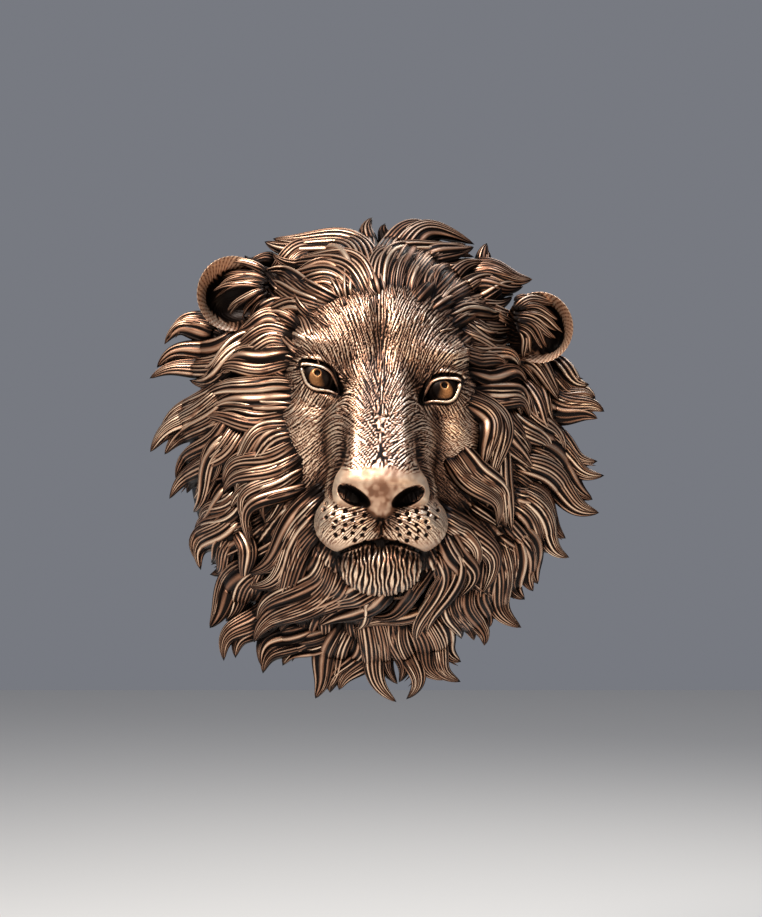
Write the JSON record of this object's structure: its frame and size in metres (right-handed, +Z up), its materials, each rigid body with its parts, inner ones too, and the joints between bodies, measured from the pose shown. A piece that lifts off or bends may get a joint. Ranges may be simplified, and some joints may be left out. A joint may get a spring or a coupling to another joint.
{
  "type": "lion head wall mask",
  "caption": "Lion head wall mask: face, ears and a full mane of curling locks, cast in one piece with a flat back.",
  "frame": {"origin": "on the flat back, at the middle of the head between the lowest lock and the top curl", "axes": "-Y out of the wall towards the viewer, +Z up, +X to the viewer's right, which is the lion's left"},
  "size_m": [0.428, 0.204, 0.4595],
  "materials": {
    "bronze": "cast bronze: near-black brown patina in the recesses, brown on the forms, ridges rubbed to gold"
  },
  "bodies": {
    "root": {"lion_mask": "bronze"}
  },
  "joints": []
}
